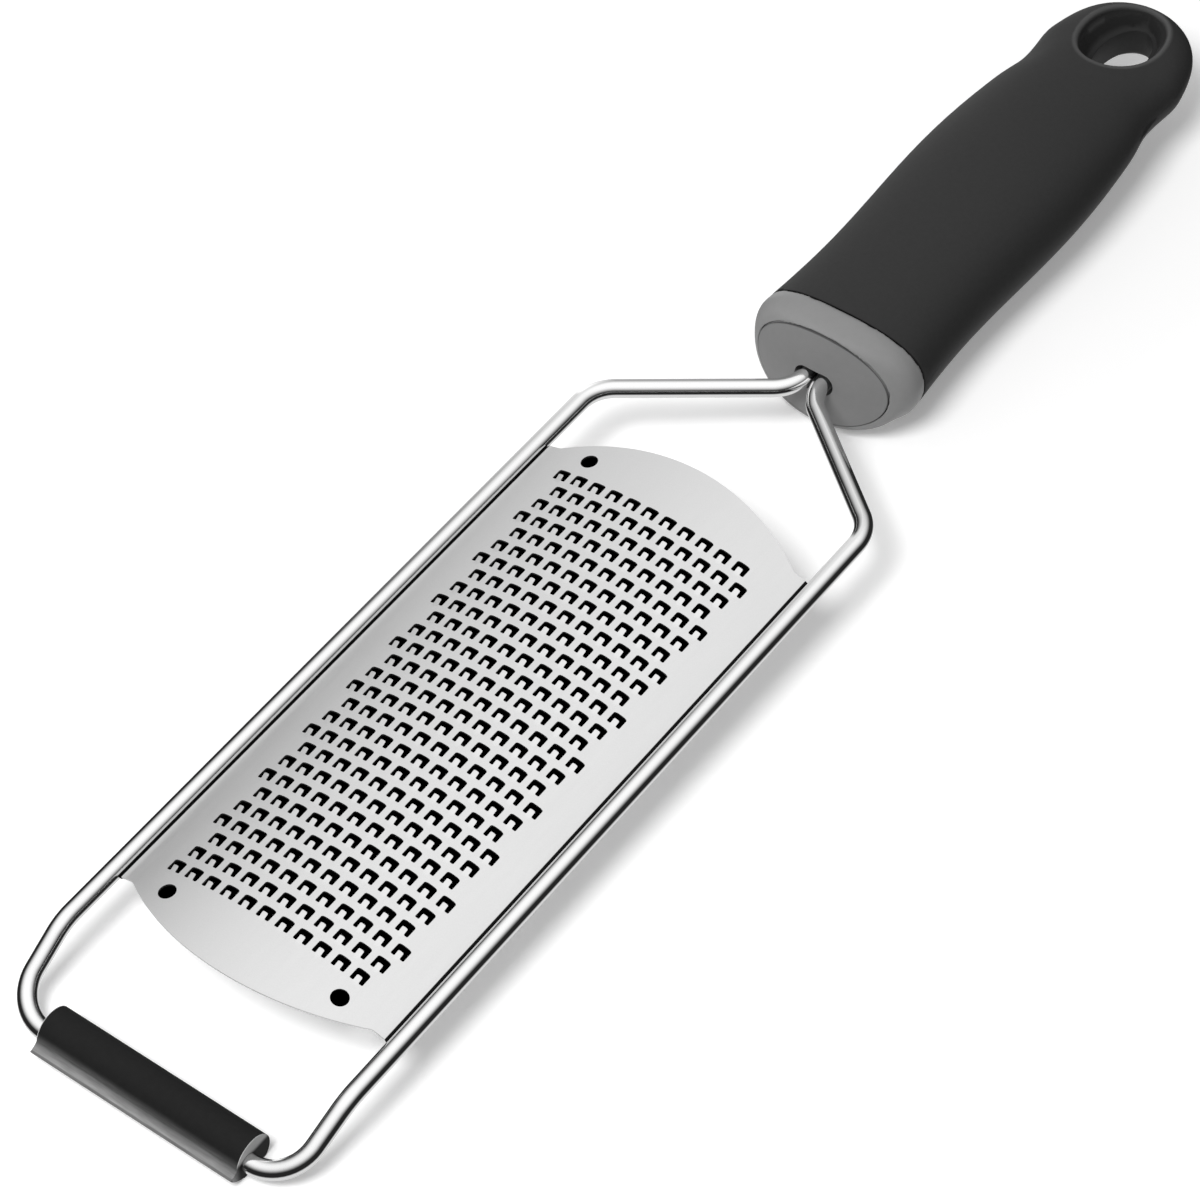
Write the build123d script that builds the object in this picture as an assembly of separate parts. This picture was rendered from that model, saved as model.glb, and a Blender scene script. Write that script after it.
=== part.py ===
from build123d import *
import os
from math import asin, cos, degrees, radians, sin

# Rasp zester: an arched etched blade spot-welded into a bent rod frame, a push-on foot at the
# nose, and a two-part handle moulded round the rod's tangs.  Lengths are in millimetres.
# The tool is drawn with the crown of the blade at height zero and the middle of the blade at
# Y zero, X across, +Y towards the handle, +Z out of the cutting side.  At the end it is laid
# on the table, on the foot and the belly of the handle.

# Rod frame
rod_diameter = 3.7
frame_width = 68.3
rail_drop = 5.3
shoulder_y = 79.6
shoulder_bend = 9.0
heel_y = 75.5
heel_bend = 12.0
nose_y = 91.7
nose_drop = 7.1
nose_inset = 0.9
nose_bend = 8.5
neck_lead = 3.6
neck_bend = 9.0
tang_gap = 0.3
tang_length = 42.0

# Blade
fold_drop = 0.286
arch_spans = 8
blade_thickness = 0.4
blade_corner_y = 62.5
blade_bulge = 7.7
blade_ear = 3.1
ear_fillet = 1.2
flange_bend = 0.9
flange_height = 4.2
weld_gap = 0.02
round_hole_diameter = 3.1
round_hole_along_arch = 19.7
round_hole_y = 61.6

# Etched teeth
tooth_columns = 11
tooth_rows = 28
tooth_pitch_across = 4.2
tooth_pitch_along = 4.16
row_stagger_shares = (-2 / 7, 0, 2 / 7)
tooth_slot_width = 2.8
tooth_slot_length = 2.5
tongue_width = 1.5
tongue_length = 1.3
tongue_rise = 0.4
tongue_bury = 0.03

# Foot
foot_length = 45.6
foot_clearance = 0.05
foot_body_diameter = 8.5
foot_body_offset = 1.45
foot_sole_drop = 3.2
foot_toe_reach = 4.7
foot_toe_drop = 0.2
foot_skirt_rise = 0.8
foot_skirt_reach = 2.7
foot_crown_angle = 45.0
foot_under_share = 0.75
foot_mouth = 2.7
foot_mouth_lean = 27.8

# Handle
handle_axis_drop = 8.2
handle_face_y = 107.6
face_radius = 38.0
face_rake = 11.0
collar_fillet = 2.2
seam_setback = 10.2
seam_radius = 140.0
handle_width = 38.4
handle_rise = 11.4
handle_depth = 12.4
section_fullness = 0.64
lobe_y = 219.0
skin_lead = 2.0
# Pull of the grip's skin at even steps from the face to the lobe, as shares of the sizes above
width_shares = (1, 1.04, 0.73, 0.9, 1.18, 0.95, 0.84, 0.79)
rise_shares = (0.98, 0.97, 0.94, 1.08, 1.21, 0.96, 0.63, 0.63)
depth_shares = (1, 1.01, 0.95, 0.94, 1.05, 1.02, 0.71, 0.71)
plug_width = 30.8
plug_height = 19.3
plug_thickness = 7.0
plug_clearance = 0.05
tang_slot_width = 9.0
tang_slot_height = 4.6
tang_clearance = 0.05
core_tip_width = 15.0
core_tip_height = 8.0
core_bar_length = 82.0
core_bar_taper = 1.7
hang_hole_setback = 0.6
hang_hole_width = 10.4
hang_hole_length = 18.4
hang_dish_width = 17.4
hang_dish_length = 22.4
hang_ledge_drop = 7.0
hang_ledge = 0.8
hang_underside_depth = 3.0

# One overrun lets every cut run clear of the surface it opens
overrun = 5.0
# The resting tilt is found from two first guesses, in degrees, and this many closer ones
first_tilt = 1.5
rest_steps = 2

rod_radius = rod_diameter / 2
rail_x = frame_width / 2 - rod_radius
tang_x = (rod_diameter + tang_gap) / 2
axis_z = -handle_axis_drop
neck_y = handle_face_y - neck_lead
block_y = handle_face_y + face_radius / 2
skin_y = handle_face_y - skin_lead
rail_z = -rail_drop
nose_z = rail_z - nose_drop
nose_x = rail_x - nose_inset
# The sheet folds down just inside each rail, a little under its middle, and arches between
fold_x = rail_x - rod_radius - weld_gap - flange_bend
fold_z = rail_z - fold_drop
arch_radius = (fold_x**2 + fold_z**2 - flange_bend**2) / (-fold_z - flange_bend) / 2


def mirrored(points):
    """The same route on the other side of the tool, walked back."""
    return [(-x, y, z) for x, y, z in reversed(points)]


# Rod frame: one rod, from one tang round the nose to the other
def make_frame_rod():
    half = [
        (tang_x, handle_face_y + tang_length, axis_z),
        (tang_x, neck_y, axis_z),
        (rail_x, shoulder_y, rail_z),
        (rail_x, -heel_y, rail_z),
        (nose_x, -nose_y, nose_z),
    ]
    bends = [neck_bend, shoulder_bend, heel_bend, nose_bend]
    route = FilletPolyline(*half, *mirrored(half), radius=bends + bends[::-1])
    start = Plane(origin=route @ 0, z_dir=route % 0)
    return sweep(start * Circle(rod_radius), path=route)


# Blade
def on_arch(along_arch, y, height=0):
    """A place on the arch: X along the sheet, Y along the tool, Z square to the sheet."""
    turn = degrees(along_arch / arch_radius)
    crown = Pos(0, y, arch_radius + height)
    return Pos(0, 0, -arch_radius) * Rot(0, turn, 0) * crown


def sheet_side(offset):
    """One side of the bent sheet across the tool: flange, bend, arch, bend, flange."""
    radius = arch_radius - offset
    bend = flange_bend - offset
    lean = asin(fold_x / (arch_radius - flange_bend))
    toe_z = fold_z + flange_bend * cos(lean) - flange_height
    crown = []
    for step in range(arch_spans + 1):
        turn = lean * (2 * step / arch_spans - 1)
        crown.append((radius * sin(turn), radius * cos(turn) - arch_radius))
    slopes = [(cos(lean), sin(lean)), (cos(lean), -sin(lean))]
    side = [Spline(*crown, tangents=slopes)]
    half_turn = (lean + radians(90)) / 2
    for hand in (1, -1):
        tangent = (hand * (fold_x + bend * sin(lean)), fold_z + bend * cos(lean))
        middle = (hand * (fold_x + bend * sin(half_turn)), fold_z + bend * cos(half_turn))
        foot = (hand * (fold_x + bend), fold_z)
        toe = (hand * (fold_x + bend), toe_z)
        side += [ThreePointArc(tangent, middle, foot), Line(foot, toe)]
    return side, toe


def blade_section():
    """Arched sheet with both edges folded down against the rails."""
    outer, outer_toe = sheet_side(0)
    inner, inner_toe = sheet_side(blade_thickness)
    edges = outer + inner
    for hand in (1, -1):
        edges.append(Line((hand * outer_toe[0], outer_toe[1]), (hand * inner_toe[0], inner_toe[1])))
    return Face(Wire(edges))


def blade_plan():
    """The blade's outline seen from above: bulged ends between square ears."""
    half_width = rail_x
    ear_x = half_width - rod_radius - blade_ear
    apex_y = blade_corner_y + blade_bulge
    top = [
        Line((-half_width, blade_corner_y), (-ear_x, blade_corner_y)),
        ThreePointArc((-ear_x, blade_corner_y), (0, apex_y), (ear_x, blade_corner_y)),
        Line((ear_x, blade_corner_y), (half_width, blade_corner_y)),
    ]
    bottom = [
        Line((half_width, -blade_corner_y), (ear_x, -blade_corner_y)),
        ThreePointArc((ear_x, -blade_corner_y), (0, -apex_y), (-ear_x, -blade_corner_y)),
        Line((-ear_x, -blade_corner_y), (-half_width, -blade_corner_y)),
    ]
    sides = [
        Line((side * half_width, -blade_corner_y), (side * half_width, blade_corner_y))
        for side in (-1, 1)
    ]
    plan = Face(Wire(top + sides + bottom))
    notches = plan.vertices().filter_by(lambda v: abs(v.X) < half_width - ear_fillet)
    return fillet(notches, ear_fillet)


def tooth_places():
    """Staggered lattice of teeth, as (along the arch, along the tool)."""
    for row in range(tooth_rows):
        y = (row - (tooth_rows - 1) / 2) * tooth_pitch_along
        shift = row_stagger_shares[row % len(row_stagger_shares)] * tooth_pitch_across
        for column in range(tooth_columns):
            yield (column - (tooth_columns - 1) / 2) * tooth_pitch_across + shift, y


def tooth_tongue():
    """Cutting tongue: rooted at the foot side of its slot, rising to a sharp edge."""
    root = tongue_bury
    low = -blade_thickness + tongue_bury
    outline = Polyline(
        (-overrun * tongue_bury, low),
        (0, low),
        (tongue_length, tongue_rise),
        (0, -root),
        (-overrun * tongue_bury, -root),
        close=True,
    )
    side = Plane.YZ * make_face(outline)
    return extrude(side, amount=tongue_width / 2, both=True)


def make_blade():
    reach = blade_corner_y + blade_bulge
    sheet = extrude(Plane.XZ * blade_section(), amount=reach, both=True)
    depth = flange_height + arch_radius
    blank = sheet & extrude(Plane.XY * blade_plan(), amount=depth, both=True)
    slot = Box(tooth_slot_width, tooth_slot_length, overrun)
    hole = Cylinder(round_hole_diameter / 2, overrun)
    cuts = [on_arch(u, y) * slot for u, y in tooth_places()]
    for u, y in ((-1, 1), (-1, -1), (1, -1)):
        cuts.append(on_arch(u * round_hole_along_arch, y * round_hole_y) * hole)
    tongue = Pos(0, -tooth_slot_length / 2, 0) * tooth_tongue()
    tongues = [on_arch(u, y) * tongue for u, y in tooth_places()]
    return (blank - cuts) + tongues


# Foot: a soft extrusion split along its underside and pushed on over the nose of the rod
def foot_profile():
    """Section of the foot about the rod's centre: a round body with a skirt running to a toe."""
    body_radius = foot_body_diameter / 2
    body = Pos(foot_body_offset, 0) * Circle(body_radius)
    back_x = foot_body_offset - body_radius * cos(radians(foot_crown_angle))
    crown = (back_x, body_radius * sin(radians(foot_crown_angle)))
    toe = (-foot_toe_reach, -foot_toe_drop)
    under = (-foot_skirt_reach, -foot_sole_drop * foot_under_share)
    skirt = [
        ThreePointArc(toe, (-foot_skirt_reach, foot_skirt_rise), crown),
        Line(crown, (foot_body_offset, 0)),
        Line((foot_body_offset, 0), (0, -foot_sole_drop)),
        ThreePointArc((0, -foot_sole_drop), under, toe),
    ]
    width = foot_body_diameter + foot_toe_reach
    sole = Pos(0, -foot_sole_drop - overrun) * Rectangle(width * 2, overrun * 2)
    return (body + Face(Wire(skirt))) - sole


def make_foot():
    bore = Circle(rod_radius + foot_clearance)
    mouth = Rot(0, 0, foot_mouth_lean) * Pos(0, -overrun) * Rectangle(foot_mouth, overrun * 2)
    profile = foot_profile() - bore - mouth
    across = Plane(origin=(0, -nose_y, nose_z), x_dir=(0, 1, 0), z_dir=(1, 0, 0))
    return extrude(across * profile, amount=foot_length / 2, both=True)


# Handle
def at_axis(y):
    """Drawing plane square to the handle at a place along it."""
    return Plane(origin=(0, y, axis_z), x_dir=(1, 0, 0), z_dir=(0, -1, 0))


def quarter_pull(half_width, height):
    """Control points of one quarter of the handle's rounded section, from side to middle."""
    side = (half_width, section_fullness * height)
    top = (section_fullness * half_width, height)
    return [(half_width, 0), side, top, (0, height)]


def section_quarters(end):
    """The handle's section at one end of its skin, as four curves about the axis."""
    half_width = handle_width / 2 * width_shares[end]
    for height in (handle_rise * rise_shares[end], -handle_depth * depth_shares[end]):
        for side in (half_width, -half_width):
            yield Bezier(*quarter_pull(side, height))


def skin_patch(side, height, height_shares):
    """One quarter of the handle's skin, a single smooth patch from the face to the lobe."""
    rows = []
    for step, share in enumerate(width_shares):
        y = skin_y + (lobe_y - skin_y) * step / (len(width_shares) - 1)
        pull = quarter_pull(side * handle_width / 2 * share, height * height_shares[step])
        rows.append([(x, y, axis_z + z) for x, z in pull])
    return Face.make_bezier_surface(rows)


def handle_blank():
    """Collar and grip as one smooth form, ending in the round lobe."""
    skin = []
    for side in (1, -1):
        skin.append(skin_patch(side, handle_rise, rise_shares))
        skin.append(skin_patch(side, -handle_depth, depth_shares))
    front = at_axis(skin_y) * Face(Wire(list(section_quarters(0))))
    back = at_axis(lobe_y) * Face(Wire(list(section_quarters(-1))))
    barrel = Solid(Shell(skin + [front.face(), back.face()]))
    reach = Pos(handle_width, 0) * Rectangle(handle_width * 2, handle_width * 2)
    lobe = revolve(back & at_axis(lobe_y) * reach, Axis((0, lobe_y, 0), (0, 0, 1)), 180)
    return barrel + lobe


def face_dome():
    """Everything behind the domed front face, which leans back towards the top."""
    back = face_radius * cos(radians(face_rake))
    drop = face_radius * sin(radians(face_rake))
    ball = Pos(0, handle_face_y + back, axis_z - drop) * Sphere(face_radius)
    rear = extrude(at_axis(lobe_y) * Rectangle(handle_width, handle_width), amount=lobe_y - block_y)
    return ball + rear


def behind_seam():
    """Everything behind the curved seam between collar and grip."""
    seam_y = handle_face_y + seam_setback
    return Pos(0, seam_y + seam_radius, axis_z) * Cylinder(seam_radius, handle_width * 2)


def tang_bores():
    """Bores for the two ends of the rod, open to the front."""
    depth = tang_length + tang_clearance
    bore = Circle(rod_radius + tang_clearance)
    end = at_axis(handle_face_y + depth)
    return [extrude(end * Pos(side * tang_x, 0) * bore, amount=depth * 2) for side in (1, -1)]


def core_bar():
    """Bar inside the grip, narrowing evenly to its tip."""
    root_y = handle_face_y + seam_setback
    tip = at_axis(root_y + core_bar_length) * Rectangle(core_tip_width, core_tip_height)
    return extrude(tip, amount=core_bar_length, taper=-core_bar_taper)


def plug_prism(clearance=0):
    """Oval column of the face plug, reaching out through the face."""
    oval = Ellipse(plug_width / 2 + clearance, plug_height / 2 + clearance)
    back_y = handle_face_y + plug_thickness
    return extrude(at_axis(back_y) * oval, amount=plug_thickness + overrun)


def make_face_plug():
    slot = SlotOverall(tang_slot_width, tang_slot_height)
    reach = plug_thickness + overrun
    throat = extrude(at_axis(handle_face_y) * slot, amount=reach, both=True)
    return (plug_prism() & face_dome()) - throat


def make_handle_core(blank):
    """Collar with the bar that runs back inside the grip and holds the tangs."""
    front = (blank & face_dome()) - behind_seam()
    dome = front.faces().filter_by(GeomType.SPHERE)
    front = fillet(dome.edges(), collar_fillet)
    return (front + core_bar()) - plug_prism(plug_clearance) - tang_bores()


def hang_hole():
    """Oval hole through the lobe, dished on top down to a ledge and eased underneath."""
    hole = Ellipse(hang_hole_width / 2, hang_hole_length / 2)
    ledge = Ellipse(hang_hole_width / 2 + hang_ledge, hang_hole_length / 2 + hang_ledge)
    dish = Ellipse(hang_dish_width / 2, hang_dish_length / 2)
    brim_z = axis_z + handle_rise * rise_shares[-1]
    ledge_z = brim_z - hang_ledge_drop
    sole_z = axis_z - handle_depth * depth_shares[-1]
    waist_z = sole_z + hang_underside_depth
    hole_y = lobe_y + hang_hole_setback
    through = extrude(Pos(0, hole_y, axis_z) * hole, amount=handle_width, both=True)
    bowl = loft([Pos(0, hole_y, ledge_z) * ledge, Pos(0, hole_y, brim_z) * dish])
    mouth = extrude(Pos(0, hole_y, brim_z) * dish, amount=overrun)
    under = loft([Pos(0, hole_y, sole_z) * dish, Pos(0, hole_y, waist_z) * hole])
    return [through, bowl, mouth, under]


def make_handle_grip(blank):
    return (blank & behind_seam()) - core_bar() - hang_hole()


# Resting place
def lowest(pieces, tilt):
    return min((Rot(tilt, 0, 0) * piece).bounding_box().min.Z for piece in pieces)


def rest_tilt(foot, handle):
    """Turn about X at which the foot and the belly of the handle reach the table together."""
    tilts = [0, first_tilt]
    gaps = [lowest(foot, tilt) - lowest(handle, tilt) for tilt in tilts]
    for _ in range(rest_steps):
        slope = (gaps[-1] - gaps[-2]) / (tilts[-1] - tilts[-2])
        tilts.append(tilts[-1] - gaps[-1] / slope)
        gaps.append(lowest(foot, tilts[-1]) - lowest(handle, tilts[-1]))
    return tilts[-1]


def laid_down(nodes):
    """Every piece turned to rest on the table, with the tool's middle over the origin."""
    handle = [nodes["handle_core"], nodes["handle_grip"]]
    turn = Rot(rest_tilt([nodes["foot"]], handle), 0, 0)
    turned = {name: turn * piece for name, piece in nodes.items()}
    bounds = turned["frame_rod"].bounding_box()
    for piece in turned.values():
        bounds = bounds.add(piece.bounding_box())
    middle = bounds.center()
    shift = Pos(-middle.X, -middle.Y, -bounds.min.Z)
    return {name: shift * piece for name, piece in turned.items()}


blank = handle_blank()
nodes = {
    "frame_rod": make_frame_rod(),
    "blade": make_blade(),
    "foot": make_foot(),
    "face_plug": make_face_plug(),
    "handle_core": make_handle_core(blank),
    "handle_grip": make_handle_grip(blank),
}
os.makedirs("parts", exist_ok=True)
for name, piece in laid_down(nodes).items():
    export_step(piece, f"parts/{name}.step")
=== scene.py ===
# %% [markdown]
# A rasp zester is an arched, etched steel blade in a bent rod frame, with a soft foot at the nose
# and a handle moulded in two parts.  The solids come from the CAD part.  Everything here is drawn
# in the same frame, in metres, so nothing has to be fitted by eye.

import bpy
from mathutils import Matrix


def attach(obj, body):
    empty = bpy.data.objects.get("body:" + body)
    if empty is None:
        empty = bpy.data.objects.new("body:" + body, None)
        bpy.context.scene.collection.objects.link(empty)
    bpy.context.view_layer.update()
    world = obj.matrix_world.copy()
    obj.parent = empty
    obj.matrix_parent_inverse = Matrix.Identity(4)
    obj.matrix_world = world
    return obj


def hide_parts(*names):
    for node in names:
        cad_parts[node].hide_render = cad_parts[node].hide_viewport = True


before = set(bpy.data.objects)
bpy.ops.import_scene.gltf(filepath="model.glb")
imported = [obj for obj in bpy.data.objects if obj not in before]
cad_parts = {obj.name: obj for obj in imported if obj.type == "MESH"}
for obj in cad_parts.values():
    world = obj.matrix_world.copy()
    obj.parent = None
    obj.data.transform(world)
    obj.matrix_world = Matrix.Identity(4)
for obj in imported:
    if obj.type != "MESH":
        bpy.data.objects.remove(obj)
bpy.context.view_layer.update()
print("nodes", sorted(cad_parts))

# %% [markdown]
# The photograph was taken with a long lens from beside the foot, looking down along the tool.  The
# camera keeps that place, so the render can be laid over the photograph.

# %% Place the camera
import math

import bmesh
import bpy
from mathutils import Matrix, Vector
from mathutils.bvhtree import BVHTree

camera_place = (0.316685, -0.425224, 0.587036)
camera_turn = (41.335018, 1.619152, 36.894650)
lens_mm, sensor_mm = 123.3624, 36

camera = bpy.data.objects.new("camera", bpy.data.cameras.new("camera"))
bpy.context.collection.objects.link(camera)
camera.location = camera_place
camera.rotation_euler = [math.radians(angle) for angle in camera_turn]
camera.data.lens, camera.data.sensor_width = lens_mm, sensor_mm
camera.data.clip_start, camera.data.clip_end = 0.05, 20
bpy.context.scene.camera = camera
bpy.context.scene.view_settings.view_transform = "Standard"
print("camera at", [round(v, 3) for v in camera.location])

# %% [markdown]
# The tool is easiest to describe lying square, in millimetres, with the crown of the blade at
# height zero and the middle of the blade at Y zero.  One small turn and one shift then lay it on
# the table, on its foot and the belly of the handle.

# %% Lay a piece on the table
mm = 0.001
rest_tilt = math.radians(1.4198564)
rest_shift = Vector((0, -69.12187, 17.89871))
laid = (Matrix.Translation(rest_shift * mm) @ Matrix.Rotation(rest_tilt, 4, "X")
        @ Matrix.Scale(mm, 4))


def make_piece(name, mesh, nodes, slot, *materials):
    """A finished piece: its mesh laid on the table, riding on the tool in place of CAD nodes."""
    mesh.transform(laid)
    piece = bpy.data.objects.new(name, mesh)
    bpy.context.collection.objects.link(piece)
    for material in materials:
        if material.name not in mesh.materials:
            mesh.materials.append(material)
    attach(piece, "root")
    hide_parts(*nodes)
    print(name, "faces", len(mesh.polygons), "size mm", [round(v / mm, 1) for v in piece.dimensions])


# %% [markdown]
# Shader maths and geometry maths read best as ordinary expressions.  This small class wraps a
# socket, and its operators add the Math nodes.

# %% A socket that does arithmetic
class Wire:
    """The output of a node, for use in ordinary expressions."""

    def __init__(self, tree, socket):
        self.tree, self.socket = tree, socket

    def node(self, kind, settings=(), out=0, **sockets):
        """Add a node, its settings first, then its sockets; give back one of its outputs."""
        return add_node(self.tree, kind, settings, out, **sockets)

    def maths(self, operation, first, second=0.0):
        made = self.tree.nodes.new("ShaderNodeMath")
        made.operation = operation
        for socket, value in zip(made.inputs, (first, second)):
            feed(self.tree, socket, value)
        return Wire(self.tree, made.outputs[0])

    def __add__(self, other):
        return self.maths("ADD", self, other)

    def __sub__(self, other):
        return self.maths("SUBTRACT", self, other)

    def __rsub__(self, other):
        return self.maths("SUBTRACT", other, self)

    def __mul__(self, other):
        return self.maths("MULTIPLY", self, other)

    def __truediv__(self, other):
        return self.maths("DIVIDE", self, other)

    def __mod__(self, other):
        return self.maths("MODULO", self, other)

    def __lt__(self, other):
        return self.maths("LESS_THAN", self, other)

    def __gt__(self, other):
        return self.maths("GREATER_THAN", self, other)

    def __abs__(self):
        return self.maths("ABSOLUTE", self)

    __radd__, __rmul__ = __add__, __mul__

    def floor(self):
        return self.maths("FLOOR", self)

    def root(self):
        return self.maths("SQRT", self)

    def highest(self, other):
        return self.maths("MAXIMUM", self, other)

    def parts(self):
        """The X, Y and Z of a vector."""
        split = self.tree.nodes.new("ShaderNodeSeparateXYZ")
        self.tree.links.new(self.socket, split.inputs[0])
        return [Wire(self.tree, output) for output in split.outputs]


def feed(tree, socket, value):
    """Give a socket a value, or link a wire to it."""
    if isinstance(value, Wire):
        tree.links.new(value.socket, socket)
    else:
        socket.default_value = value


def add_node(tree, kind, settings=(), out=0, **sockets):
    made = tree.nodes.new(kind)
    for key, value in dict(settings).items():
        setattr(made, key, value)
    for key, value in sockets.items():
        feed(tree, made.inputs[key.replace("_", " ")], value)
    return Wire(tree, made.outputs[out])


# %% [markdown]
# Every finish here is one Principled shader with small patterns on it.  The patterns read the
# place of the surface, so they stay with the piece from any side and need no image.


# %% Patterns that a finish is made of
def grey(level):
    return (level, level, level, 1)


def new_finish(name, **sockets):
    """A material with one Principled shader and the place of the surface to read patterns from."""
    material = bpy.data.materials.new(name)
    material.use_nodes = True
    tree = material.node_tree
    shader = tree.nodes["Principled BSDF"]
    for key, value in sockets.items():
        feed(tree, shader.inputs[key.replace("_", " ")], value)
    place = add_node(tree, "ShaderNodeTexCoord", out="Object")
    print("finish", name)
    return material, shader, place


def grain(place, scale, stretch=(1, 1, 1)):
    """Fine noise; a small number in stretch draws it out along that axis."""
    mapped = place.node("ShaderNodeMapping", Vector=place, Scale=stretch)
    return place.node("ShaderNodeTexNoise", Vector=mapped, Scale=scale, Detail=3.0)


def ramp(wire, low, high, bottom=0.0, top=1.0):
    """Smooth step of a number from one level to another."""
    settings = {"interpolation_type": "SMOOTHSTEP"}
    return wire.node("ShaderNodeMapRange", settings, Value=wire, From_Min=low, From_Max=high,
                     To_Min=bottom, To_Max=top)


def near(distance, core, fade):
    """One on a line, falling to zero away from it."""
    return ramp(abs(distance), core, fade, 1.0, 0.0)


def relief(height, strength, distance):
    return height.node("ShaderNodeBump", out="Normal", Height=height, Strength=strength,
                       Distance=distance)


def shade_of(level):
    """A grey colour from a number."""
    return level.node("ShaderNodeCombineColor", Red=level, Green=level, Blue=level)


def paint(shader, name, wire):
    feed(shader.id_data, shader.inputs[name], wire)


# %% [markdown]
# The rod is bright polished steel.  Very fine lines run along it, so noise that is drawn out along
# the tool varies its roughness a little.

# %% Polished steel
rod_steel, shader, place = new_finish("polished_steel", Base_Color=grey(0.86), Metallic=1)
paint(shader, "Roughness", 0.07 + 0.07 * grain(place, 900, (1, 0.03, 1)))

# %% [markdown]
# Rubber and moulded plastic change along the tool: the foot has a painted sheen towards its thin
# toe, and a fine dark line follows every seam.  Those places are known from the drawing, so the
# patterns are worked out from the place of the surface, turned back to the square tool in millimetres.

# %% Places on the square tool
grip_seam_radius, grip_seam_centre_y = 140.0, 257.8
plug_across, plug_up, handle_axis = 15.4, 9.65, -8.2
plug_mean = 12  # turns a share of the oval into millimetres
plug_back_y = 111.5  # the plug's seam shows only in front of this


def on_tool(place):
    """The place of a surface on the square tool, as X, Y and Z in millimetres."""
    back = Matrix.Rotation(-rest_tilt, 3, "X") @ -rest_shift
    turned = place.node("ShaderNodeMapping", Vector=place, Scale=(1 / mm, 1 / mm, 1 / mm),
                        Rotation=(-rest_tilt, 0, 0), Location=back)
    return turned.parts()


def seam_lines(place):
    """The seam of the grip, and the oval seam of the plug, as one mask."""
    x, y, z = on_tool(place)
    ahead = y - grip_seam_centre_y
    grip_seam = near((x * x + ahead * ahead).root() - grip_seam_radius, 0.05, 0.26)
    across, up = x / plug_across, (z - handle_axis) / plug_up
    from_plug = ((across * across + up * up).root() - 1) * plug_mean
    plug_seam = near(from_plug, 0.05, 0.17) * (y < plug_back_y)
    return grip_seam.highest(plug_seam)


# %% [markdown]
# The blade is etched from rolled sheet.  It has a fine satin all over.  The walls of its openings
# are painted nearly black as painted shade, and painted shade draws a thin dark line along the
# folded edge beside the rod.

# %% Satin sheet steel, with painted shade on its folds and its etched walls
blade_steel, shader, place = new_finish("satin_etched_steel", Metallic=1)
rolling = grain(place, 1400, (1, 0.06, 1))
x, y, z = on_tool(place)
right_fold, left_fold = ramp(x, 29.82, 29.94), ramp(-1 * x, 29.9, 30.02)
# Painted shade: a thin dark line where each folded edge runs down beside the rod, darker and rougher.
painted_fold_shade = (right_fold + left_fold) * ramp(z, -7.6, -6.9)
satin = 0.74 + 0.08 * grain(place, 5000)
paint(shader, "Roughness", 0.34 + 0.1 * rolling + 0.4 * painted_fold_shade)
paint(shader, "Base Color", shade_of(satin * (1 - 0.97 * painted_fold_shade)))
paint(shader, "Normal", relief(rolling, 0.06, 0.00004))

# Painted shade: the walls of the openings and the round holes are painted nearly black.
painted_shade_wall, shader, place = new_finish("painted_shade_wall", Specular_IOR_Level=0.1)
paint(shader, "Base Color", shade_of(0.008 + 0.012 * grain(place, 6000)))
paint(shader, "Roughness", 0.8 + 0.15 * grain(place, 4000))

# %% [markdown]
# The foot is a dark extrusion.  A painted sheen pales its thin toe, with faint streaks along its
# length, and the upper part of its cut ends is painted paler too.  Masks for those places mix the
# painted sheen into one rubber, because it is one material.

# %% Foot rubber
nose_y, foot_half_length = -88.9, 22.7
toe_start, toe_full, toe_tip = 4.7, 7.2, 7.0

foot_rubber, shader, place = new_finish("foot_rubber", Specular_IOR_Level=0.15)
x, y, z = on_tool(place)
past_nose = nose_y - y
toe = ramp(past_nose, toe_start, toe_full)
# The painted sheen drops by half past the tip of the toe, which leaves a thin darker line.
toe_line = 1 - 0.5 * ramp(past_nose, toe_tip - 0.1, toe_tip + 0.1)
streaks = grain(place, 300, (0.06, 1, 1)) * grain(place, 2500, (0.1, 1, 1))
cut_end = (abs(x) > foot_half_length) * ramp(z, -11.6, -10.2)
# Painted sheen: the toe and the top of each cut end are painted paler where light falls on them.
pale = toe * toe_line * (0.14 + 0.5 * streaks) + cut_end * 0.45
paint(shader, "Base Color", shade_of(0.009 + 0.004 * grain(place, 900) + pale))
paint(shader, "Roughness", 0.62 - 0.12 * toe)
paint(shader, "Normal", relief(grain(place, 2600), 0.12, 0.00006))


# %% [markdown]
# The collar and its plug are moulded in the same grey plastic; the plug is painted a little darker,
# as painted shade.  One function makes both, with the fine texture of the mould and the dark line of
# the seams.

# %% Moulded plastic of the collar and its plug
def moulded(name, level):
    material, shader, place = new_finish(name, Roughness=0.42)
    colour = level + 0.02 * grain(place, 700)
    paint(shader, "Base Color", shade_of(colour * (1 - 0.65 * seam_lines(place))))
    paint(shader, "Normal", relief(grain(place, 4200), 0.1, 0.00005))
    return material


collar_plastic = moulded("collar_plastic", 0.22)
# Painted shade: the plug is the same plastic as the collar, painted darker.
plug_painted_shade = moulded("plug_painted_shade", 0.185)

# %% [markdown]
# The grip has a soft-touch skin, nearly black and with hardly any shine.  A soft ring of painted
# highlight follows the brim of the hanging hole on the top side.

# %% Soft-touch grip
hole_centre_y = 219.6
ring_across, ring_along, ring_mean, top_side_z = 9.1, 11.5, 10, -4

grip_rubber, shader, place = new_finish("soft_touch_grip", Roughness=0.6, Specular_IOR_Level=0.28)
x, y, z = on_tool(place)
across, along = x / ring_across, (y - hole_centre_y) / ring_along
from_brim = ((across * across + along * along).root() - 1) * ring_mean
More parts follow.
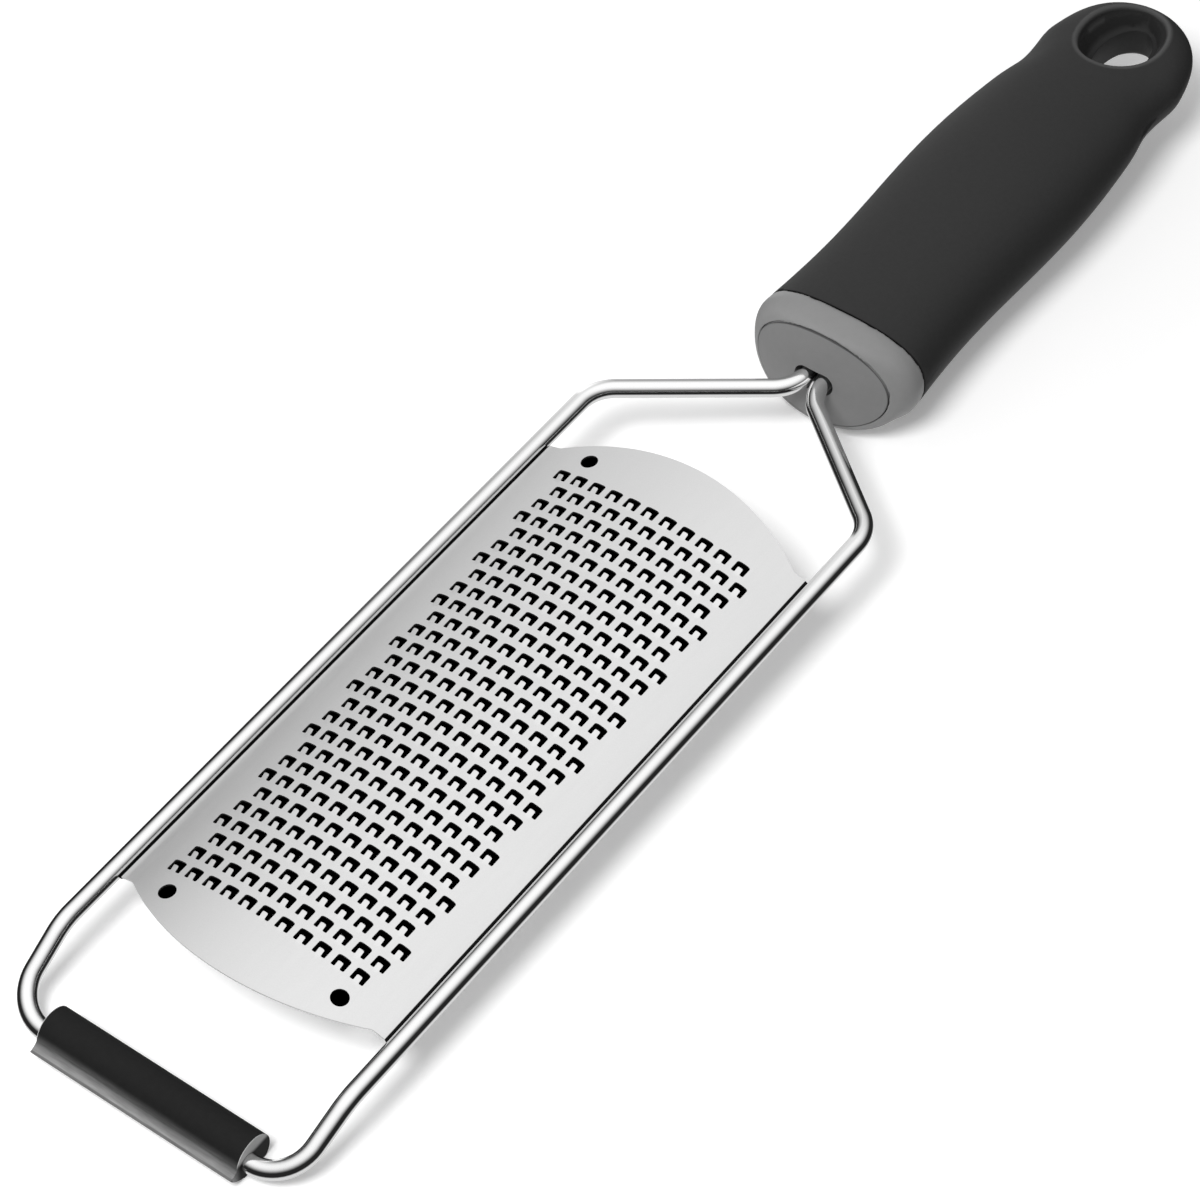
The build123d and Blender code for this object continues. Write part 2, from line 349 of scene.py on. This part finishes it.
# Painted highlight: a pale ring along the brim, on the top side only.
brim = near(from_brim, 0.15, 0.95) * (z > top_side_z)
colour = 0.02 + 0.006 * grain(place, 1200) + 0.045 * brim
paint(shader, "Base Color", shade_of(colour * (1 - 0.6 * seam_lines(place))))
paint(shader, "Normal", relief(grain(place, 3800), 0.18, 0.00008))

# %% [markdown]
# The rod is one piece bent eight times.  In Blender a polyline through its corners, rounded by
# Fillet Curve and given a round profile, follows the same rule as the bending machine.

# %% Route of the rod
rod_radius = 1.85
corners = [  # X, Y, Z and the radius of the bend there
    (2.0, 149.6, -8.2, 0),
    (2.0, 104.0, -8.2, 9.0),
    (32.3, 79.6, -5.3, 9.0),
    (32.3, -75.5, -5.3, 12.0),
    (31.4, -91.7, -12.4, 8.5),
]
corners += [(-x, y, z, bend) for x, y, z, bend in reversed(corners)]

route = bpy.data.meshes.new("route")
pairs = [(k, k + 1) for k in range(len(corners) - 1)]
route.from_pydata([corner[:3] for corner in corners], pairs, [])
bends = route.attributes.new("bend", "FLOAT", "POINT")
bends.data.foreach_set("value", [corner[3] for corner in corners])
print("the rod is bent", sum(corner[3] > 0 for corner in corners), "times")


# %% [markdown]
# A geometry tree is grown on a carrier object and then taken off it as a plain mesh, because the
# export keeps meshes and not modifiers.

# %% Tools for geometry trees
def new_tree(name, **inputs):
    """A geometry tree with named number inputs, and wires to each of them."""
    tree = bpy.data.node_groups.new(name, "GeometryNodeTree")
    tree.interface.new_socket("Geometry", in_out="INPUT", socket_type="NodeSocketGeometry")
    tree.interface.new_socket("Geometry", in_out="OUTPUT", socket_type="NodeSocketGeometry")
    for key, value in inputs.items():
        kind = "NodeSocketInt" if isinstance(value, int) else "NodeSocketFloat"
        tree.interface.new_socket(key, in_out="INPUT", socket_type=kind)
    source = tree.nodes.new("NodeGroupInput")
    wires = {key: Wire(tree, source.outputs[key]) for key in inputs}
    return tree, Wire(tree, source.outputs["Geometry"]), wires


def plain_mesh(carrier):
    """The mesh of an object with its modifiers applied; the object itself goes."""
    finished = carrier.evaluated_get(bpy.context.evaluated_depsgraph_get())
    mesh = bpy.data.meshes.new_from_object(finished)
    bpy.data.objects.remove(carrier)
    return mesh


def carry(name, mesh):
    """A passing object to hang modifiers on."""
    carrier = bpy.data.objects.new(name, mesh)
    bpy.context.collection.objects.link(carrier)
    return carrier


def grow(name, mesh, tree, result, inputs):
    """Run a tree on a mesh and give back the plain mesh that it makes."""
    sink = tree.nodes.new("NodeGroupOutput")
    tree.links.new(result.socket, sink.inputs["Geometry"])
    carrier = carry(name, mesh)
    modifier = carrier.modifiers.new(name, "NODES")
    modifier.node_group = tree
    sockets = [item for item in tree.interface.items_tree if item.in_out == "INPUT"]
    named = {item.name: item.identifier for item in sockets}
    for key, value in inputs.items():
        modifier[named[key]] = value
    return plain_mesh(carrier)


def shade(mesh, angle):
    """Smooth shading that keeps edges sharper than an angle."""
    mesh.shade_smooth()
    mesh.set_sharp_from_angle(angle=math.radians(angle))


# %% Bend and draw the rod
sizes = {"rod radius": rod_radius, "steps in a bend": 14, "steps around": 40}
tree, line, given = new_tree("bent_rod", **sizes)
bend = line.node("GeometryNodeInputNamedAttribute", {"data_type": "FLOAT"}, Name="bend")
curve = line.node("GeometryNodeMeshToCurve", Mesh=line)
bent = curve.node("GeometryNodeFilletCurve", {"mode": "POLY"}, Curve=curve,
                  Count=given["steps in a bend"], Radius=bend)
ring = line.node("GeometryNodeCurvePrimitiveCircle", Resolution=given["steps around"],
                 Radius=given["rod radius"])
tube = line.node("GeometryNodeCurveToMesh", Curve=bent, Profile_Curve=ring, Fill_Caps=True)
finish = line.node("GeometryNodeSetMaterial", Geometry=tube, Material=rod_steel)
rod_mesh = grow("frame_rod_bent", route, tree, finish, sizes)
shade(rod_mesh, 35)
make_piece("frame_rod_bent", rod_mesh, ["frame_rod"], "polished_rod", rod_steel)

# %% [markdown]
# The blade is one sheet: acid opens a U round each tooth, and a press lifts the tongue that is
# left, arches the sheet and folds its edges down.  It is drawn the same way, flat first.  A tooth
# is one small tile, and Geometry Nodes lays the tiles out.

# %% Sizes of the blade
arch_radius, sheet = 96.3, 0.4
fold_radius, flange = 0.9, 4.2
fold_x, fold_z = 29.53, -5.586
lean = math.asin(fold_x / (arch_radius - fold_radius))
arch_half = arch_radius * lean
fold_half = arch_half + fold_radius * (math.pi / 2 - lean)
sheet_half = fold_half + flange - fold_radius * math.cos(lean)
tooth_across, tooth_along = 4.2, 4.16
tooth_columns, tooth_rows = 11, 28
stagger = tooth_across * 2 / 7
print("flat sheet is", round(2 * sheet_half, 1), "mm wide")


# %% Fill a flat outline
def filled(loops):
    """A flat mesh between an outline and the holes in it."""
    made = bmesh.new()
    edges = []
    for loop in loops:
        points = [made.verts.new((x, y, 0)) for x, y in loop]
        edges += [made.edges.new(pair) for pair in zip(points, points[1:] + points[:1])]
    bmesh.ops.triangle_fill(made, edges=edges, use_beauty=True, normal=(0, 0, 1))
    return made


# %% One tooth, in a tile of the sheet
edge_steps = 7
half_across, half_along = tooth_across / 2, tooth_along / 2
steps = [half_across - tooth_across * k / edge_steps for k in range(edge_steps + 1)]
tile_outline = [(x, half_along) for x in steps] + [(-x, -half_along) for x in steps]
slot_half = [
    (0.0, 1.38), (0.8, 1.35), (1.24, 1.24), (1.43, 1.0), (1.43, -1.12), (1.28, -1.27),
    (0.72, -1.27), (0.57, -1.12), (0.57, -0.27), (0.53, -0.13), (0.41, -0.06), (0.0, -0.03),
]
slot = slot_half + [(-x, y) for x, y in reversed(slot_half[1:-1])]
tile = filled([tile_outline, slot])

# %% Lift the tongue of the tooth
tongue_root, tongue_tip, tongue_side = -1.12, -0.03, 0.7
tongue_rise, tongue_curl = 0.38, 1.4
for vertex in tile.verts:
    x, y, _ = vertex.co
    if abs(x) < tongue_side and tongue_root < y < tongue_tip + 0.01:
        share = (y - tongue_root) / (tongue_tip - tongue_root)
        vertex.co.z = tongue_rise * share**tongue_curl
tile_mesh = bpy.data.meshes.new("tooth")
tile.to_mesh(tile_mesh)
tooth = bpy.data.objects.new("tooth", tile_mesh)
print("a tooth has", len(tile_mesh.polygons), "flat faces")

# %% [markdown]
# Every third row starts in line again, and the two between are shifted by two sevenths of a pitch
# each way, so no tooth runs in the track of the one before it.

# %% Lay out the teeth
sizes = {"rows": tooth_rows, "columns": tooth_columns, "pitch along": tooth_along,
         "pitch across": tooth_across, "stagger": stagger}
tree, _, given = new_tree("tooth_rows", **sizes)
number = add_node(tree, "GeometryNodeInputIndex")
row = (number / given["columns"]).floor()
column = number - row * given["columns"]
shift = (row % 3 - 1) * given["stagger"]
x = (column - (given["columns"] - 1) / 2) * given["pitch across"] + shift
y = (row - (given["rows"] - 1) / 2) * given["pitch along"]
spots = add_node(tree, "GeometryNodePoints", Count=given["rows"] * given["columns"],
                 Position=add_node(tree, "ShaderNodeCombineXYZ", X=x, Y=y))
source = add_node(tree, "GeometryNodeObjectInfo", out="Geometry", Object=tooth)
teeth = add_node(tree, "GeometryNodeInstanceOnPoints", Points=spots, Instance=source)
real = add_node(tree, "GeometryNodeRealizeInstances", Geometry=teeth)
joined = add_node(tree, "GeometryNodeMergeByDistance", Geometry=real, Distance=0.01)
finish = add_node(tree, "GeometryNodeSetMaterial", Geometry=joined, Material=blade_steel)
teeth_mesh = grow("teeth", bpy.data.meshes.new("none"), tree, finish, sizes)
print("teeth faces", len(teeth_mesh.polygons))

# %% [markdown]
# The plain sheet round the teeth meets the tiles point for point along their stepped outline.
# Its ends are bulged between two square ears, with a small round in each corner, and the folded
# flanges are cut back at a slant so that no corner shows beside the rod.


# %% Outline of the field of teeth
def row_edge(row, side):
    """Where a row of tiles starts on the left, or ends on the right."""
    start = -tooth_columns * half_across + (row % 3 - 1) * stagger
    return start + (tooth_columns * tooth_across if side > 0 else 0)


def between(start, end):
    """Points of a level step of the outline, without the last, at the tile's own spacing."""
    count = round(abs(end - start) / tooth_across * edge_steps)
    return [start + (end - start) * k / count for k in range(count)] if count else []


def stair(rows, side):
    """The stepped edge of the field on one side, row by row."""
    points = []
    for row, after in zip(rows, rows[1:] + [None]):
        edge = row_edge(row, side)
        low = (row - (tooth_rows - 1) / 2) * tooth_along - half_along
        first, last = (low, low + tooth_along) if side > 0 else (low + tooth_along, low)
        level = between(edge, row_edge(after, side)) if after is not None else []
        points.append((edge, first))
        points += [(x, last) for x in level] or [(edge, last)]
    return points


rows = list(range(tooth_rows))
right, left = stair(rows, 1), stair(rows[::-1], -1)
head = [(x, right[-1][1]) for x in between(right[-1][0], left[0][0])][1:]
tail = [(x, left[-1][1]) for x in between(left[-1][0], right[0][0])][1:]
field = right + head + left + tail
print("outline of the field has", len(field), "points")

# %% Outline of the blade
corner_y, apex_y, ear_x = 62.5, 70.2, 27.35
flange_slant, end_steps = 4.2, 48
round_start, round_middle, round_lift, round_end = 0.75, 0.38, 0.07, 0.1
bulge = apex_y - corner_y
end_radius = (ear_x**2 + bulge**2) / (2 * bulge)


def end_reach(u):
    """How far from the middle the bulged end lies, at a place across the sheet."""
    x = arch_radius * math.sin(u / arch_radius)
    return apex_y - end_radius + math.sqrt(end_radius**2 - x**2)


ear = [(sheet_half, corner_y - flange_slant), (fold_half, corner_y),
       (ear_x + round_start, corner_y), (ear_x + round_middle, corner_y + round_lift)]
across = [(ear_x + round_end) * (1 - 2 * k / end_steps) for k in range(end_steps + 1)]
end = ear + [(u, end_reach(u)) for u in across] + [(-u, y) for u, y in reversed(ear)]
outline = end + [(-u, -y) for u, y in end]
print("the ends bulge on a radius of", round(end_radius, 1), "mm")


# %% The three holes
def turns_round(count):
    return [2 * math.pi * k / count for k in range(count)]


hole_radius, hole_u, hole_y, hole_sides = 1.72, 19.7, 61.6, 28
holes = []
for u, y in ((-hole_u, hole_y), (-hole_u, -hole_y), (hole_u, -hole_y)):
    holes.append([(u + hole_radius * math.cos(turn), y + hole_radius * math.sin(turn))
                  for turn in turns_round(hole_sides)])

# %% [markdown]
# Long triangles can't bend, so the plain margin is cut into narrow strips along the tool, with
# closer cuts where the edge folds.  The cuts miss the field, whose tiles are fine enough.

# %% Join the margin and the teeth
step, stride, reach, fold_steps = tooth_across / edge_steps, 3, 18, 6
fold_width = fold_half - arch_half
cuts = [step / 2 + stride * step * k for k in range(-reach, reach)]
for k in range(fold_steps + 1):
    cuts += [side * (arch_half + fold_width * k / fold_steps) for side in (1, -1)]

blade = filled([outline, field] + holes)
for u in cuts:
    everything = blade.verts[:] + blade.edges[:] + blade.faces[:]
    bmesh.ops.bisect_plane(blade, geom=everything, dist=0.001, plane_co=(u, 0, 0),
                           plane_no=(1, 0, 0))
blade.from_mesh(teeth_mesh)
bmesh.ops.remove_doubles(blade, verts=blade.verts, dist=0.01)
for face in blade.faces:
    face.material_index = 0
    if face.normal.z < 0:
        face.normal_flip()
print("flat blade faces", len(blade.faces))

# %% [markdown]
# The second face of the sheet and the walls between them give it its thickness.  Then every point
# goes round the arch and over the folds, as the press would take it.  A tongue is pressed thinner
# as it rises.


# %% Where the press takes a point
def on_sheet(u, y, lift):
    """Where a point of the flat sheet goes when the sheet is arched and its edges are folded."""
    side, along = math.copysign(1, u), abs(u)
    if along <= arch_half:
        radius, turn = arch_radius + lift, along / arch_radius
        out, up = radius * math.sin(turn), radius * math.cos(turn) - arch_radius
    else:
        radius = fold_radius + lift
        turn = lean + min((along - arch_half) / fold_radius, math.pi / 2 - lean)
        out = fold_x + radius * math.sin(turn)
        up = fold_z + radius * math.cos(turn) - max(along - fold_half, 0)
    return (side * out, y, up)


def on_blade_edge(u, y):
    """Whether a point of a rim is on the blade's own edge, not in a hole or a tooth."""
    beyond_ears = abs(y) > corner_y + 2 or abs(u) > ear_x - 1
    return beyond_ears or math.hypot(u, abs(y) - apex_y + end_radius) > end_radius - 0.5


# %% Thicken and press the blade
thinning = 0.5
rim = [edge for edge in blade.edges if len(edge.link_faces) == 1]
lower = bmesh.ops.duplicate(blade, geom=blade.verts[:] + blade.edges[:] + blade.faces[:])
twin = {old: new for old, new in lower["vert_map"].items()}
for face in [item for item in lower["geom"] if isinstance(item, bmesh.types.BMFace)]:
    face.normal_flip()
for edge in rim:
    a, b = edge.link_loops[0].vert, edge.link_loops[0].link_loop_next.vert
    wall = blade.faces.new((b, a, twin[a], twin[b]))
    # Walls in the teeth and the holes take the painted shade; the blade's own edge keeps the satin.
    wall.material_index = 0 if on_blade_edge(a.co.x, a.co.y) else 1
below = {item for item in lower["geom"] if isinstance(item, bmesh.types.BMVert)}
for vertex in blade.verts:
    u, y, rise = vertex.co
    thick = sheet - thinning * rise
    vertex.co = on_sheet(u, y, rise - (thick if vertex in below else 0))
blade_mesh = bpy.data.meshes.new("arched_blade")
blade.to_mesh(blade_mesh)
shade(blade_mesh, 30)
make_piece("arched_blade", blade_mesh, ["blade"], "satin_blade", blade_steel, painted_shade_wall)

# %% [markdown]
# The photograph shows the openings black.  A black card under the teeth, seen by the camera
# alone, does the same here.  It follows the arch and stays inside the blade's bulged ends.  It
# belongs to the studio and not to the tool.

# %% Black card of painted shade under the teeth
# Painted shade: the card darkens the openings, and only the camera sees it.
shade_card_black, _, _ = new_finish("shade_card_black", Base_Color=grey(0.0), Roughness=1.0,
                              Specular_IOR_Level=0.0)
card_u, card_low, card_high, card_drop = 24.8, -63.6, 64.9, 1.4
card_margin, card_strips = 1, 32
points = []
for k in range(card_strips + 1):
    u = card_u * (2 * k / card_strips - 1)
    inside = end_reach(u) - card_margin
    low, high = max(card_low, -inside), min(card_high, inside)
    points += [on_sheet(u, low, -card_drop), on_sheet(u, high, -card_drop)]
card = bpy.data.meshes.new("black_card")
card.from_pydata(points, [], [(2 * k, 2 * k + 2, 2 * k + 3, 2 * k + 1) for k in range(card_strips)])
card.transform(laid)
card.materials.append(shade_card_black)
black_card = bpy.data.objects.new("black_card", card)
bpy.context.collection.objects.link(black_card)
black_card.visible_diffuse = black_card.visible_glossy = black_card.visible_shadow = False

# %% [markdown]
# The collar and the grip start from their CAD meshes, merged into closed skins.  On the real tool
# the front of the collar is drawn in toward its oval plug, and the lobe bulges behind a slimmer
# neck, so the points are moved a little by smooth rules.


# %% Copies of CAD meshes to reshape
def merged_copy(node):
    """A CAD node's mesh, back on the square tool and with its points merged."""
    copy = bmesh.new()
    copy.from_mesh(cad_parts[node].data)
    copy.transform(laid.inverted())
    bmesh.ops.remove_doubles(copy, verts=copy.verts, dist=0.001)
    return copy


def as_mesh(shape, name):
    mesh = bpy.data.meshes.new(name)
    shape.to_mesh(mesh)
    return mesh


def ease(value, low, high):
    """Smooth step from zero to one."""
    t = min(max((value - low) / (high - low), 0), 1)
    return t * t * (3 - 2 * t)


# %% [markdown]
# A CAD skin has long, uneven triangles, and moving their corners would leave dents.  Remesh lays
# small even faces over the collar first, and Smooth softens its edges as the mould does.

# %% An even skin for the collar
voxel, smoothing_passes = 0.42, 5
carrier = carry("rounded_collar", as_mesh(merged_copy("handle_core"), "rounded_collar"))
remesh = carrier.modifiers.new("even", "REMESH")
remesh.mode, remesh.voxel_size = "VOXEL", voxel
smooth = carrier.modifiers.new("soft", "SMOOTH")
smooth.factor, smooth.iterations = 0.5, smoothing_passes
collar_mesh = plain_mesh(carrier)

# %% Draw in the front of the collar
drawn_from_y, drawn_depth, drawn_share = 116.8, 5.3, 0.38
for vertex in collar_mesh.vertices:
    x, y, z = vertex.co
    out = math.hypot(x / plug_across, (z - handle_axis) / plug_up)
    if out > 1.01 and y < drawn_from_y:
        drawn = 1 + (out - 1) * (1 - drawn_share * ease(drawn_from_y - y, 0, drawn_depth))
        vertex.co.x, vertex.co.z = x * drawn / out, handle_axis + (z - handle_axis) * drawn / out
shade(collar_mesh, 60)
make_piece("rounded_collar", collar_mesh, ["handle_core"], "collar_grey", collar_plastic)

# %% Slim the neck and fill the lobe
neck_y, neck_spread, neck_draw = 204.5, 4.5, 0.6
lobe_y, lobe_spread, lobe_fill = 216, 4.6, 1.0
flank_start, flank_full = 9, 13.5
grip = merged_copy("handle_grip")
for vertex in grip.verts:
    x, y, z = vertex.co
    neck = neck_draw * math.exp(-((y - neck_y) / neck_spread) ** 2)
    lobe = lobe_fill * math.exp(-((y - lobe_y) / lobe_spread) ** 2)
    vertex.co.x += math.copysign(ease(abs(x), flank_start, flank_full), x) * (lobe - neck)

# %% [markdown]
# The brim of the dish round the hanging hole is soft on the real handle, where the solid has a
# sharp edge.  A cutter that flares like a trumpet rounds the brim, following the height of the lobe
# all the way round.

# %% Height of the lobe round the dish
surface = BVHTree.FromBMesh(grip)
brim_across, brim_along, brim_radius = 9.35, 11.7, 1.15


def oval(turn, across, along):
    return across * math.cos(turn), hole_centre_y + along * math.sin(turn)


def lobe_height(x, y):
    hit, _, _, _ = surface.ray_cast(Vector((x, y, 40)), Vector((0, 0, -1)))
    return hit.z


# %% [markdown]
# The profile of the cutter starts inside the dish, goes round the brim in six steps, and leaves
# the lobe at a slant.  A cutter that only touched the lobe there would leave a ragged edge.

# %% Flared cutter for the brim
brim_sides, lip_out, lip_up, cutter_top = 120, 0.94, 0.342, 3.0
flare = [(brim_radius * 1.6, -brim_radius * 1.7)]  # how far inward, and how far above the lobe
for angle in (0, 14, 28, 42, 56, 70):
    turn = math.radians(angle)
    flare.append((brim_radius * math.cos(turn), brim_radius * (math.sin(turn) - 1)))
last_inward, last_rise = flare[-1]
flare += [(last_inward - lip_out, last_rise + lip_up), (last_inward - lip_out, cutter_top)]

points, faces, count = [], [], len(flare)
for turn in turns_round(brim_sides):
    top = lobe_height(*oval(turn, brim_across, brim_along))
    for inward, rise in flare:
        x, y = oval(turn, brim_across - inward, brim_along - inward)
        points.append((x, y, top + rise))
for k in range(brim_sides):
    here, ahead = k * count, (k + 1) % brim_sides * count
    faces += [(here + j, ahead + j, ahead + j + 1, here + j + 1) for j in range(count - 1)]
faces.append([k * count for k in range(brim_sides)][::-1])
faces.append([k * count + count - 1 for k in range(brim_sides)])
cutter_mesh = bpy.data.meshes.new("brim_cutter")
cutter_mesh.from_pydata(points, [], faces)

# %% Cut the brim
cutter = carry("brim_cutter", cutter_mesh)
blank = carry("grip_blank", as_mesh(grip, "soft_grip"))
cut = blank.modifiers.new("brim", "BOOLEAN")
cut.operation, cut.object, cut.solver = "DIFFERENCE", cutter, "EXACT"
soft_grip = plain_mesh(blank)
bpy.data.objects.remove(cutter)
shade(soft_grip, 32)
make_piece("soft_grip", soft_grip, ["handle_grip"], "grip_dark", grip_rubber)

# %% [markdown]
# The foot and the plug have their full shape in the CAD part already, so they only need a finish.

# %% Finishes on the CAD nodes that keep their shape
finishes = {"foot": foot_rubber, "face_plug": plug_painted_shade}
for node, material in finishes.items():
    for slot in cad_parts[node].material_slots:
        slot.material = material

# %% [markdown]
# The photograph has a white ground with one soft shadow.  The floor is pale paper, and to the
# camera it is lit a little more by its own material, which never lights the tool.

# %% Floor
paper_glow = 0.22
paper, shader, _ = new_finish("paper", Base_Color=grey(0.92), Roughness=0.9,
                              Emission_Color=grey(1))
to_camera = add_node(paper.node_tree, "ShaderNodeLightPath", out="Is Camera Ray")
paint(shader, "Emission Strength", paper_glow * to_camera)
bpy.ops.mesh.primitive_plane_add(size=6)
floor = bpy.context.object
floor.name = "floor"
floor.data.materials.append(paper)
floor.visible_glossy = False

# %% [markdown]
# Polished metal shows what stands round it.  The studio is bright overhead and dim near the
# horizon, which draws the dark lines along the rod.  A pale screen at the back left brightens the
# blade toward the handle.  The camera sees plain white.

# %% World
world = bpy.data.worlds.new("studio")
bpy.context.scene.world = world
world.use_nodes = True
sky = world.node_tree
background = sky.nodes["Background"]
light_path = sky.nodes.new("ShaderNodeLightPath")
x, y, z = add_node(sky, "ShaderNodeTexCoord", out="Generated").parts()
overhead = ramp(z, 0.15, 1.02, 0.02, 1.2)
underfoot = ramp(z, -0.75, -0.5, 0.75, 0.0)
back_left = ramp(x, -0.95, -0.4, 1.0, 0.0) * ramp(y, 0.44, 0.62, 0.0, 1.8)
mirrored = overhead + underfoot + back_left

ambient = 0.3
to_camera, through_glass, in_metal = [
    Wire(sky, light_path.outputs["Is %s Ray" % kind]) for kind in ("Camera", "Transmission", "Glossy")]
seen = to_camera + through_glass
strength = ambient + (1 - ambient) * seen + in_metal * (mirrored - ambient)
feed(sky, background.inputs["Strength"], strength)
feed(sky, background.inputs["Color"], grey(1))


# %% [markdown]
# Two round softboxes light the tool: a key high in front of the foot, which throws the soft shadow
# behind the rod and the handle, and a weak one from the left.  Metal doesn't mirror them, so no
# hard spot shows on the rod.

# %% Lamps
def softbox(name, place, size, watts):
    """A round lamp aimed at the middle of the tool."""
    lamp = bpy.data.objects.new(name, bpy.data.lights.new(name, "AREA"))
    bpy.context.collection.objects.link(lamp)
    lamp.data.shape = "DISK"
    lamp.data.size = size
    lamp.data.energy = watts
    lamp.location = place
    lamp.rotation_euler = (-Vector(place)).to_track_quat("-Z", "Y").to_euler()
    lamp.visible_glossy = False
    print(name, "lamp", watts, "W")


softbox("key", (0.02, -0.64, 1.1), size=0.55, watts=12.5)
softbox("side", (-1.3, -0.4, 0.5), size=0.9, watts=5.5)
